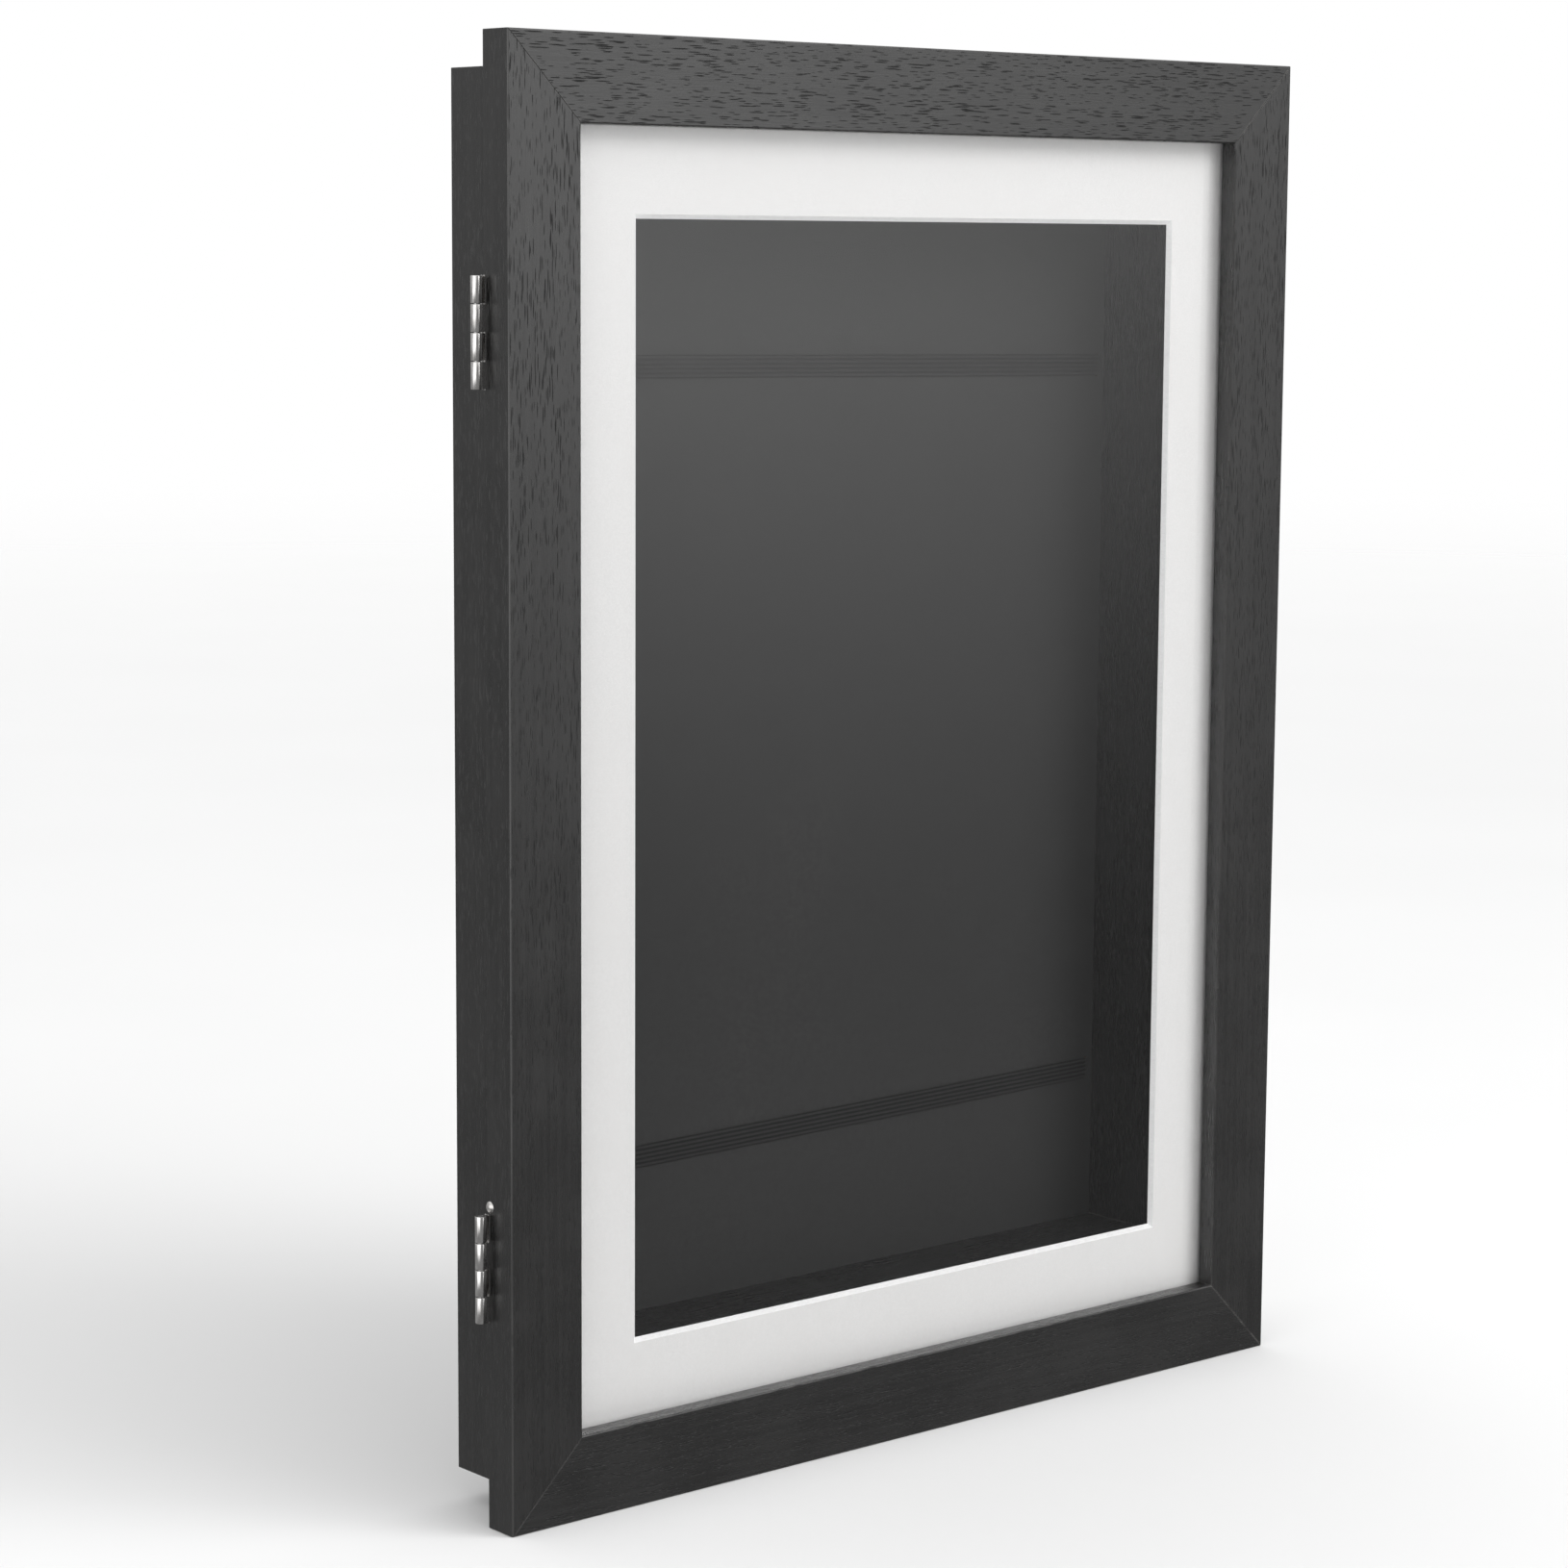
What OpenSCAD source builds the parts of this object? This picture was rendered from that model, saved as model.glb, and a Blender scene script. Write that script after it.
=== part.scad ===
// Wall-hung shadow box with a hinged, glazed front door.
// A mitred door carries the pane and the window mat; a deep mitred box behind it holds sheets of artwork
// under two elastic straps. Origin: centre of the rear wall face. +X right, +Y to the wall, +Z up.

/* [Door] */
// Outer width of the door
door_w = 436; // [400:1:480]
// Outer height of the door
door_h = 592; // [560:1:640]
// Thickness of the door members, front to back
door_t = 16; // [15:0.5:18]
// Face width of the door members
face_w = 35; // [33:0.5:38]
// Depth of the lip in front of the pane
lip_t = 8; // [7:0.5:8.5]
// Width of the rebate behind the lip
rebate_w = 7; // [6:0.5:8]
// Small chamfer on the front arrises of the door
arris = 0.5; // [0.3:0.1:0.8]

/* [Glazing] */
// Thickness of the clear pane
pane_t = 2; // [1.5:0.1:2]
// Thickness of the window mat
mat_t = 1.8; // [1.2:0.1:1.8]
// Width of the window cut in the mat
window_w = 299; // [280:1:305]
// Height of the window cut in the mat
window_h = 454; // [430:1:457]
// How far the mat has slipped to the right in its rebate
mat_slip_x = 2.4; // [0:0.1:2.4]
// How far the mat has slipped down in its rebate
mat_slip_z = 2; // [0:0.1:2]

/* [Box] */
// Depth of the whole object, wall face to door front
total_d = 55; // [50:0.5:65]
// Distance that the door overhangs the box all round
overhang = 13; // [12:0.5:14]
// Face width of the box members
box_face_w = 51; // [48:0.5:53]
// Clearance between the closed door and the box
door_gap = 0.5; // [0.4:0.1:0.8]
// Thickness of the back panel
panel_t = 3.2; // [3:0.1:4]
// Width of the rebate that takes the back panel
panel_rebate_w = 8; // [7:0.5:9]

/* [Straps] */
// Width of the elastic straps
strap_w = 9.5; // [6:0.5:12]
// Thickness of the elastic straps
strap_t = 0.9; // [0.7:0.1:1]
// Height of each strap above and below the middle
strap_z = 164; // [120:1:190]
// Tilt of the straps, in degrees
strap_tilt = 0.7; // [0:0.1:1]

/* [Hinges] */
// Height of the hinge barrels
hinge_h = 44; // [40:1:50]
// Outer radius of the hinge barrels
barrel_r = 2.3; // [2.2:0.05:2.5]
// Radius of the hinge pins
pin_r = 1.15; // [1:0.05:1.2]
// Leaf width from the pin's axis to the far edge
leaf_w = 27; // [26:0.5:28]
// Thickness of the hinge leaves
leaf_t = 1.2; // [1:0.1:1.3]
// Distance of the pin's axis outside the door's edge
axis_out = 3.3; // [3.2:0.1:3.6]
// Height of the upper hinge's middle
hinge_upper_z = 181; // [150:1:200]
// Height of the lower hinge's middle
hinge_lower_z = -189; // [-200:1:-160]

/* [Latch and hangers] */
// Radius of the latch magnets
magnet_r = 5; // [4:0.5:5.5]
// Height of the magnets above and below the middle
magnet_z = 180; // [120:5:200]
// Length of the sawtooth hangers
hanger_l = 44; // [40:1:48]

/* [Hidden] */
$fn = 48;
eps = 0.01;

// Places worked out from the driving dimensions
door_front_y = -total_d;
door_back_y = door_front_y + door_t;
box_front_y = door_back_y + door_gap;
box_w = door_w - 2 * overhang;
box_h = door_h - 2 * overhang;
pocket_w = box_w - 2 * box_face_w;
pocket_h = box_h - 2 * box_face_w;
mitre_gap = 0.12;

// Glazing, in the door's rebate
rebate_face = face_w - rebate_w;
glazing_w = door_w - 2 * rebate_face;
glazing_h = door_h - 2 * rebate_face;
pane_clear = 0.5;
pane_y = door_front_y + lip_t;
mat_clear = 0.4;
mat_y = pane_y + pane_t;
mat_w = glazing_w - 2 * (mat_slip_x + mat_clear);
mat_h = glazing_h - 2 * (mat_slip_z + mat_clear);
point_y = mat_y + mat_t + 0.1;
point_t = 0.5;
point_w = 6;
point_in = 5;
point_out = 9;

// Back panel, flush with the wall face
panel_clear = 0.5;
panel_w = pocket_w + 2 * (panel_rebate_w - panel_clear);
panel_h = pocket_h + 2 * (panel_rebate_w - panel_clear);
panel_front_y = -panel_t;
brad_inset = 4;
brad_r = 0.5;
brad_head_r = 1.2;
brad_head_t = 0.5;
brad_l = 11;

// Straps, threaded through the panel and stapled behind it
strap_half = pocket_w / 2 - 4;
strap_lift = 0.15;
tail_l = 24;
tail_y = -1.5;
staple_w = 6;
staple_wire = 0.5;
staple_leg = 1.4;
strap_slot_clear = 0.25;

// Hinges: the pin's axis is vertical, in the middle of the gap between door and box
axis_x = -door_w / 2 - axis_out;
axis_y = door_back_y + door_gap / 2;
knuckles = 4;
knuckle_gap = 0.4;
knuckle_h = hinge_h / knuckles;
bore_r = pin_r + 0.05;
neck_x = pin_r + 0.45;
plate_x = barrel_r + 0.6;
leaf_inner_y = door_gap / 2;
mortise_clear = 0.1;
leaf_screw_x = leaf_w - 5.4;
leaf_screw_z = 13;
screw_r = 1.4;
screw_head_r = 2.7;
screw_l = 11;

// Latch: magnets in the box, steel plates on the door
latch_x = box_w / 2 - 7.5;
magnet_t = 4;
plate_r = 6;
plate_t = 1.2;

// Sawtooth hangers, let into the rear of the box
hanger_w = 9;
hanger_t = 0.8;
hanger_y = -1.3;
hanger_seat = 1.4;
hanger_well = 3.2;
hanger_well_l = hanger_l - 16;
hanger_hole_x = hanger_l / 2 - 4;
hanger_inset = 21;
tooth = 2;
teeth = 11;
nail_r = 0.8;
nail_head_r = 1.5;
nail_head_t = 0.4;
nail_l = 13;

black_wood = [0.07, 0.07, 0.075];
nickel = [0.78, 0.78, 0.76];
steel = [0.62, 0.63, 0.65];

// ---------- Shared shapes ----------

// A box from its lowest and highest corners
module block(low, high) {
    translate(low) cube(high - low);
}

// A frame member along X: outer edge at Z = 0, inner edge at Z = -face, ends mitred at 45 degrees
module mitred_member(length, face, profile) {
    half = length / 2 - mitre_gap;
    intersection() {
        rotate([90, 0, 90])
            linear_extrude(length, center = true) polygon(profile);
        rotate([90, 0, 0])
            linear_extrude(4 * total_d, center = true)
                polygon([[-half, 0], [half, 0], [half - face, -face], [face - half, -face]]);
    }
}

// Turns a member built along X into the left-hand upright
module as_left(width) {
    translate([-width / 2, 0, 0]) rotate([0, -90, 0]) children();
}

// Repeats a corner detail at the four corners of a frame, drawn with +X and +Z pointing inward
module at_corners(w, h) {
    for (sx = [0, 1]) {
        for (sz = [0, 1]) {
            mirror([sx, 0, 0]) mirror([0, 0, sz]) translate([-w / 2, 0, -h / 2]) children();
        }
    }
}

// A V-nail seen from behind: two legs that lie on either side of the mitre
module v_nail(inset, y_back, depth) {
    leg = 7;
    wire = 0.8;
    block([inset, y_back - depth, inset], [inset + leg, y_back, inset + wire]);
    block([inset, y_back - depth, inset], [inset + wire, y_back, inset + leg]);
}

// A countersunk wood screw on the Z axis: head up at Z = 0, shank down, with a cross recess
module countersunk_screw(length) {
    recess = 0.7;
    head_t = screw_head_r - screw_r;
    difference() {
        union() {
            translate([0, 0, -head_t]) cylinder(r1 = screw_r, r2 = screw_head_r, h = head_t);
            translate([0, 0, -length + 2]) cylinder(r = screw_r, h = length - 2 - head_t + eps);
            translate([0, 0, -length]) cylinder(r1 = 0.3, r2 = screw_r, h = 2);
        }
        block([-1.5, -0.3, -recess], [1.5, 0.3, 1]);
        block([-0.3, -1.5, -recess], [0.3, 1.5, 1]);
    }
}

// The space that a countersunk screw takes in wood and in a leaf
module screw_space(length) {
    head_t = screw_head_r - screw_r;
    translate([0, 0, -head_t]) cylinder(r1 = screw_r + 0.05, r2 = screw_head_r + 0.05, h = head_t);
    translate([0, 0, -length - 0.2]) cylinder(r = screw_r + 0.05, h = length + 0.2);
    cylinder(r = screw_head_r + 0.05, h = 1);
}

// ---------- Door ----------

// Section of a door member as [Y, Z]: the lip, the rebate and two chamfered front arrises
door_profile = [
    [door_front_y, -arris],
    [door_front_y + arris, 0],
    [door_back_y, 0],
    [door_back_y, -rebate_face],
    [pane_y, -rebate_face],
    [pane_y, -face_w],
    [door_front_y + arris, -face_w],
    [door_front_y, arris - face_w]
];

module door_member(length) {
    mitred_member(length, face_w, door_profile);
}

module door_v_nails_shape() {
    at_corners(door_w, door_h) {
        v_nail(6, door_back_y, 6);
        v_nail(16, door_back_y, 6);
    }
}

// One glazier's point: a thin steel tab, half in the rebate wall and half over the mat
module retaining_point() {
    block([-point_w / 2, point_y, -point_out], [point_w / 2, point_y + point_t, point_in]);
}

// The row of points along one member, in the member's own place (outer edge at Z = 0)
module point_row(offsets) {
    for (x = offsets) {
        translate([x, 0, -rebate_face]) retaining_point();
    }
}

short_offsets = [-door_w / 5, door_w / 5];
long_offsets = [-door_h / 3, -door_h / 9, door_h / 9, door_h / 3];

module points_top() {
    translate([0, 0, door_h / 2]) point_row(short_offsets);
}

module points_left() {
    as_left(door_w) point_row(long_offsets);
}

module retaining_points() {
    color(steel) {
        points_top();
        mirror([0, 0, 1]) points_top();
        points_left();
        mirror([1, 0, 0]) points_left();
    }
}

module door_rail_top() {
    color(black_wood) difference() {
        translate([0, 0, door_h / 2]) door_member(door_w);
        door_v_nails_shape();
        points_top();
    }
}

module door_rail_bottom() {
    color(black_wood) difference() {
        mirror([0, 0, 1]) translate([0, 0, door_h / 2]) door_member(door_w);
        door_v_nails_shape();
        mirror([0, 0, 1]) points_top();
    }
}

module door_stile_left() {
    color(black_wood) difference() {
        as_left(door_w) door_member(door_h);
        door_v_nails_shape();
        points_left();
        for (z = [hinge_upper_z, hinge_lower_z]) {
            translate([axis_x, axis_y, z]) {
                door_leaf_mortise();
                door_leaf_screw_places() screw_space(screw_l);
            }
        }
        translate(edge_brad_at) rotate([0, 90, 0]) cylinder(r = edge_brad_r + 0.05, h = edge_brad_l + 0.2);
    }
}

module door_stile_right() {
    color(black_wood) difference() {
        mirror([1, 0, 0]) as_left(door_w) door_member(door_h);
        door_v_nails_shape();
        mirror([1, 0, 0]) points_left();
        at_latches() {
            translate([0, door_back_y - plate_t, 0]) rotate([-90, 0, 0]) cylinder(r = plate_r + 0.1, h = 5);
            translate([0, door_back_y, 0]) rotate([-90, 0, 0]) screw_space(screw_l);
        }
    }
}

module door_v_nails() {
    color(steel) door_v_nails_shape();
}

module glazing_pane() {
    half_w = glazing_w / 2 - pane_clear;
    half_h = glazing_h / 2 - pane_clear;
    color([0.8, 0.85, 0.88, 0.3])
        block([-half_w, pane_y, -half_h], [half_w, mat_y, half_h]);
}

// The mat's window, cut at 45 degrees so that it widens towards the viewer
module bevelled_window() {
    over = 1;
    front = mat_t + over;
    outline_w = [
        [-window_w / 2 - front, mat_y - over],
        [window_w / 2 + front, mat_y - over],
        [window_w / 2 - over, mat_y + mat_t + over],
        [over - window_w / 2, mat_y + mat_t + over]
    ];
    outline_h = [
        [mat_y - over, -window_h / 2 - front],
        [mat_y - over, window_h / 2 + front],
        [mat_y + mat_t + over, window_h / 2 - over],
        [mat_y + mat_t + over, over - window_h / 2]
    ];
    intersection() {
        linear_extrude(2 * window_h, center = true) polygon(outline_w);
        rotate([90, 0, 90]) linear_extrude(2 * window_w, center = true) polygon(outline_h);
    }
}

module mat_board() {
    color([0.95, 0.95, 0.94]) translate([mat_slip_x, 0, -mat_slip_z]) difference() {
        block([-mat_w / 2, mat_y, -mat_h / 2], [mat_w / 2, mat_y + mat_t, mat_h / 2]);
        bevelled_window();
    }
}

// A small domed nail in the door's hinge-side edge, just above the lower hinge
edge_brad_r = 0.5;
edge_brad_l = 8;
edge_brad_head_r = 2.4;
edge_brad_head_t = 1.1;
edge_brad_at = [-door_w / 2, door_back_y - 1.4, hinge_lower_z + hinge_h / 2 + 3.1];

module door_edge_brad() {
    dome_r = (pow(edge_brad_head_r, 2) + pow(edge_brad_head_t, 2)) / (2 * edge_brad_head_t);
    color(nickel) translate(edge_brad_at) {
        rotate([0, 90, 0]) cylinder(r = edge_brad_r, h = edge_brad_l);
        rotate([0, -90, 0]) intersection() {
            cylinder(r = edge_brad_head_r, h = edge_brad_head_t);
            translate([0, 0, edge_brad_head_t - dome_r]) sphere(r = dome_r);
        }
    }
}

// ---------- Latch ----------

module at_latches() {
    for (z = [-magnet_z, magnet_z]) {
        translate([latch_x, 0, z]) children();
    }
}

module strike_plates() {
    color(steel) at_latches() difference() {
        translate([0, door_back_y - plate_t, 0]) rotate([-90, 0, 0]) cylinder(r = plate_r, h = plate_t);
        translate([0, door_back_y, 0]) rotate([-90, 0, 0]) screw_space(screw_l);
    }
}

module strike_screws() {
    color(nickel) at_latches()
        translate([0, door_back_y, 0]) rotate([-90, 0, 0]) countersunk_screw(screw_l);
}

module latch_magnets() {
    color(nickel) at_latches()
        translate([0, box_front_y, 0]) rotate([-90, 0, 0]) cylinder(r = magnet_r, h = magnet_t);
}

// ---------- Hinges ----------

// Knuckles from the top are box, door, box, door; index 0 is the lowest
module knuckle_rings(indices, bore) {
    for (i = indices) {
        translate([0, 0, i * knuckle_h - hinge_h / 2 + knuckle_gap / 2]) difference() {
            cylinder(r = barrel_r, h = knuckle_h - knuckle_gap);
            translate([0, 0, -1]) cylinder(r = bore, h = knuckle_h + 2);
        }
    }
}

// The flat leaf on one side of the axis; side is -1 for the door's leaf and 1 for the box's
module leaf_plate(indices, side) {
    near = side * leaf_inner_y;
    far = side * (leaf_inner_y + leaf_t);
    low_y = min(near, far);
    high_y = max(near, far);
    block([plate_x, low_y, -hinge_h / 2], [leaf_w, high_y, hinge_h / 2]);
    for (i = indices) {
        z = i * knuckle_h - hinge_h / 2;
        block([neck_x, low_y, z + knuckle_gap / 2], [plate_x + eps, high_y, z + knuckle_h - knuckle_gap / 2]);
    }
}

// Screws of the door's leaf go in from behind; screws of the box's leaf go in from the front
module door_leaf_screw_places() {
    for (z = [-leaf_screw_z, leaf_screw_z]) {
        translate([leaf_screw_x, -leaf_inner_y, z]) rotate([-90, 0, 0]) children();
    }
}

module box_leaf_screw_places() {
    for (z = [-leaf_screw_z, leaf_screw_z]) {
        translate([leaf_screw_x, leaf_inner_y, z]) rotate([90, 0, 0]) children();
    }
}

module door_leaf_mortise() {
    half = hinge_h / 2 + mortise_clear;
    block([0, -leaf_inner_y - leaf_t, -half], [leaf_w + mortise_clear, 1, half]);
}

module box_leaf_mortise() {
    half = hinge_h / 2 + mortise_clear;
    block([0, -1, -half], [leaf_w + mortise_clear, leaf_inner_y + leaf_t, half]);
}

module door_leaf(z) {
    color(nickel) translate([axis_x, axis_y, z]) difference() {
        union() {
            leaf_plate([0, 2], -1);
            knuckle_rings([0, 2], bore_r);
        }
        door_leaf_screw_places() screw_space(screw_l);
    }
}

module box_leaf(z) {
    color(nickel) translate([axis_x, axis_y, z]) difference() {
        union() {
            leaf_plate([1, 3], 1);
            knuckle_rings([1, 3], pin_r);
        }
        box_leaf_screw_places() screw_space(screw_l);
    }
}

module hinge_pin(z) {
    color(steel) translate([axis_x, axis_y, z - hinge_h / 2 + knuckle_gap / 2])
        cylinder(r = pin_r, h = hinge_h - knuckle_gap);
}

module door_leaf_screws(z) {
    color(nickel) translate([axis_x, axis_y, z]) door_leaf_screw_places() countersunk_screw(screw_l);
}

module box_leaf_screws(z) {
    color(nickel) translate([axis_x, axis_y, z]) box_leaf_screw_places() countersunk_screw(screw_l);
}

module hinge_upper_door_leaf() {
    door_leaf(hinge_upper_z);
}

module hinge_lower_door_leaf() {
    door_leaf(hinge_lower_z);
}

module hinge_upper_box_leaf() {
    box_leaf(hinge_upper_z);
}

module hinge_lower_box_leaf() {
    box_leaf(hinge_lower_z);
}

module hinge_upper_pin() {
    hinge_pin(hinge_upper_z);
}

module hinge_lower_pin() {
    hinge_pin(hinge_lower_z);
}

module hinge_upper_door_screws() {
    door_leaf_screws(hinge_upper_z);
}

module hinge_lower_door_screws() {
    door_leaf_screws(hinge_lower_z);
}

module hinge_upper_box_screws() {
    box_leaf_screws(hinge_upper_z);
}

module hinge_lower_box_screws() {
    box_leaf_screws(hinge_lower_z);
}

// ---------- Box ----------

// Section of a box member as [Y, Z]: a plain bar with a rebate at the rear for the back panel
box_profile = [
    [box_front_y, 0],
    [0, 0],
    [0, panel_rebate_w - box_face_w],
    [panel_front_y, panel_rebate_w - box_face_w],
    [panel_front_y, -box_face_w],
    [box_front_y, -box_face_w]
];

module box_member(length) {
    mitred_member(length, box_face_w, box_profile);
}

module box_v_nails_shape() {
    at_corners(box_w, box_h) {
        v_nail(12, 0, 12);
        v_nail(28, 0, 12);
    }
}

module box_rail_top() {
    color(black_wood) difference() {
        translate([0, 0, box_h / 2]) box_member(box_w);
        box_v_nails_shape();
        panel_brad_spaces();
        at_portrait_hanger() hanger_recess();
    }
}

module box_rail_bottom() {
    color(black_wood) difference() {
        mirror([0, 0, 1]) translate([0, 0, box_h / 2]) box_member(box_w);
        box_v_nails_shape();
        panel_brad_spaces();
    }
}

module box_stile_left() {
    color(black_wood) difference() {
        as_left(box_w) box_member(box_h);
        box_v_nails_shape();
        panel_brad_spaces();
        for (z = [hinge_upper_z, hinge_lower_z]) {
            translate([axis_x, axis_y, z]) {
                box_leaf_mortise();
                box_leaf_screw_places() screw_space(screw_l);
            }
        }
    }
}

module box_stile_right() {
    color(black_wood) difference() {
        mirror([1, 0, 0]) as_left(box_w) box_member(box_h);
        box_v_nails_shape();
        panel_brad_spaces();
        at_landscape_hanger() hanger_recess();
        at_latches() translate([0, box_front_y - 1, 0]) rotate([-90, 0, 0])
            cylinder(r = magnet_r + 0.05, h = magnet_t + 1);
    }
}

module box_v_nails() {
    color(steel) box_v_nails_shape();
}

// ---------- Back panel ----------

module at_panel_brads() {
    x_edge = panel_w / 2 - brad_inset;
    z_edge = panel_h / 2 - brad_inset;
    for (x = [-panel_w / 3, 0, panel_w / 3]) {
        for (z = [-z_edge, z_edge]) {
            translate([x, 0, z]) children();
        }
    }
    for (z = [-panel_h * 0.36, -panel_h * 0.12, panel_h * 0.12, panel_h * 0.36]) {
        for (x = [-x_edge, x_edge]) {
            translate([x, 0, z]) children();
        }
    }
}

// One brad on the Y axis with its head just below the wall face
module panel_brad() {
    rotate([90, 0, 0]) {
        translate([0, 0, 0.1]) cylinder(r = brad_head_r, h = brad_head_t, $fn = 24);
        translate([0, 0, brad_head_t]) cylinder(r = brad_r, h = brad_l, $fn = 24);
    }
}

module panel_brad_spaces() {
    at_panel_brads() rotate([90, 0, 0]) {
        translate([0, 0, -1]) cylinder(r = brad_head_r + 0.05, h = brad_head_t + 1.1, $fn = 24);
        cylinder(r = brad_r + 0.05, h = brad_l + brad_head_t + 0.2, $fn = 24);
    }
}

module panel_brads() {
    color(steel) at_panel_brads() panel_brad();
}

module back_panel() {
    color([0.11, 0.11, 0.115]) difference() {
        block([-panel_w / 2, panel_front_y, -panel_h / 2], [panel_w / 2, 0, panel_h / 2]);
        panel_brad_spaces();
        at_straps() strap_path();
        at_straps() staples();
    }
}

// ---------- Straps ----------

module at_upper_strap() {
    translate([0, 0, strap_z]) rotate([0, strap_tilt, 0]) children();
}

module at_lower_strap() {
    translate([0, 0, -strap_z]) rotate([0, -strap_tilt, 0]) children();
}

module at_straps() {
    at_upper_strap() children();
    at_lower_strap() children();
}

// One strap: a run across the panel's front, a leg through each slot and a tail behind
module strap() {
    half_w = strap_w / 2;
    front_y = panel_front_y - strap_lift - strap_t;
    block([-strap_half, front_y, -half_w], [strap_half, front_y + strap_t, half_w]);
    for (side = [0, 1]) {
        mirror([side, 0, 0]) {
            block([strap_half - strap_t, front_y, -half_w], [strap_half, tail_y + strap_t, half_w]);
            block([strap_half - tail_l, tail_y, -half_w], [strap_half, tail_y + strap_t, half_w]);
        }
    }
}

// The slots and rear grooves that the strap's legs and tails run in
module strap_path() {
    half_w = strap_w / 2 + strap_slot_clear;
    for (side = [0, 1]) {
        mirror([side, 0, 0]) {
            block([strap_half - strap_t - strap_slot_clear, panel_front_y - 1, -half_w],
                  [strap_half + strap_slot_clear, 1, half_w]);
            block([strap_half - tail_l - strap_slot_clear, tail_y - 0.1, -half_w],
                  [strap_half + strap_slot_clear, 1, half_w]);
        }
    }
}

// A staple across each tail, its crown just below the wall face
module staples() {
    crown_y = tail_y + strap_t;
    x = strap_half - tail_l / 2;
    for (side = [0, 1]) {
        mirror([side, 0, 0]) translate([x, 0, 0]) {
            block([-staple_wire / 2, crown_y, -staple_w / 2],
                  [staple_wire / 2, crown_y + staple_wire, staple_w / 2]);
            for (z = [-staple_w / 2, staple_w / 2 - staple_wire]) {
                block([-staple_wire / 2, tail_y - staple_leg, z],
                      [staple_wire / 2, crown_y + eps, z + staple_wire]);
            }
        }
    }
}

module strap_upper() {
    color([0.03, 0.03, 0.03]) at_upper_strap() difference() {
        strap();
        staples();
    }
}

module strap_lower() {
    color([0.03, 0.03, 0.03]) at_lower_strap() difference() {
        strap();
        staples();
    }
}

module strap_staples() {
    color(steel) at_straps() staples();
}

// ---------- Hangers ----------

// The portrait hanger is on the top rail; the landscape hanger is on the latch-side upright
module at_portrait_hanger() {
    translate([0, 0, box_h / 2 - hanger_inset]) children();
}

module at_landscape_hanger() {
    translate([box_w / 2 - hanger_inset, 0, 0]) rotate([0, 90, 0]) children();
}

module at_hangers() {
    at_portrait_hanger() children();
    at_landscape_hanger() children();
}

// A shallow seat for the plate, with a deeper well that a wall nail's head drops into
module hanger_recess() {
    half_l = hanger_l / 2 + 1;
    half_w = hanger_w / 2 + 1.5;
    block([-half_l, -hanger_seat, -half_w], [half_l, 1, half_w]);
    block([-hanger_well_l / 2, -hanger_well, -half_w], [hanger_well_l / 2, 1, half_w]);
    hanger_nail_places() cylinder(r = nail_r + 0.05, h = nail_l + 0.5, $fn = 24);
}

module hanger_nail_places() {
    for (x = [-hanger_hole_x, hanger_hole_x]) {
        translate([x, 0, 1.5]) rotate([90, 0, 0]) children();
    }
}

module sawtooth_hanger() {
    low_z = -hanger_w / 2;
    difference() {
        block([-hanger_l / 2, hanger_y - 0.1, low_z],
              [hanger_l / 2, hanger_y - 0.1 + hanger_t, hanger_w / 2]);
        for (i = [0 : teeth - 1]) {
            translate([(i - (teeth - 1) / 2) * tooth, 0, low_z])
                rotate([90, 0, 0]) linear_extrude(8, center = true)
                    polygon([[-tooth / 2 + 0.1, -1], [0, tooth], [tooth / 2 - 0.1, -1]]);
        }
        hanger_nail_places() cylinder(r = nail_r + 0.05, h = nail_l, $fn = 24);
    }
}

module hanger_nail() {
    head_top = -(hanger_y - 0.1 + hanger_t);
    translate([0, 0, head_top - nail_head_t]) cylinder(r = nail_head_r, h = nail_head_t, $fn = 24);
    translate([0, 0, head_top - eps]) cylinder(r = nail_r, h = nail_l - head_top, $fn = 24);
}

module portrait_hanger() {
    color(steel) at_portrait_hanger() sawtooth_hanger();
}

module landscape_hanger() {
    color(steel) at_landscape_hanger() sawtooth_hanger();
}

module hanger_nails() {
    color(steel) at_hangers() hanger_nail_places() hanger_nail();
}

// ---------- Nodes ----------

door_rail_top();
door_rail_bottom();
door_stile_left();
door_stile_right();
door_v_nails();
glazing_pane();
mat_board();
retaining_points();
strike_plates();
strike_screws();
door_edge_brad();
hinge_upper_door_leaf();
hinge_lower_door_leaf();
hinge_upper_door_screws();
hinge_lower_door_screws();
box_rail_top();
box_rail_bottom();
box_stile_left();
box_stile_right();
box_v_nails();
back_panel();
panel_brads();
strap_upper();
strap_lower();
strap_staples();
hinge_upper_box_leaf();
hinge_lower_box_leaf();
hinge_upper_pin();
hinge_lower_pin();
hinge_upper_box_screws();
hinge_lower_box_screws();
latch_magnets();
portrait_hanger();
landscape_hanger();
hanger_nails();
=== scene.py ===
import math

import bpy
from mathutils import Matrix, Vector


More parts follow.
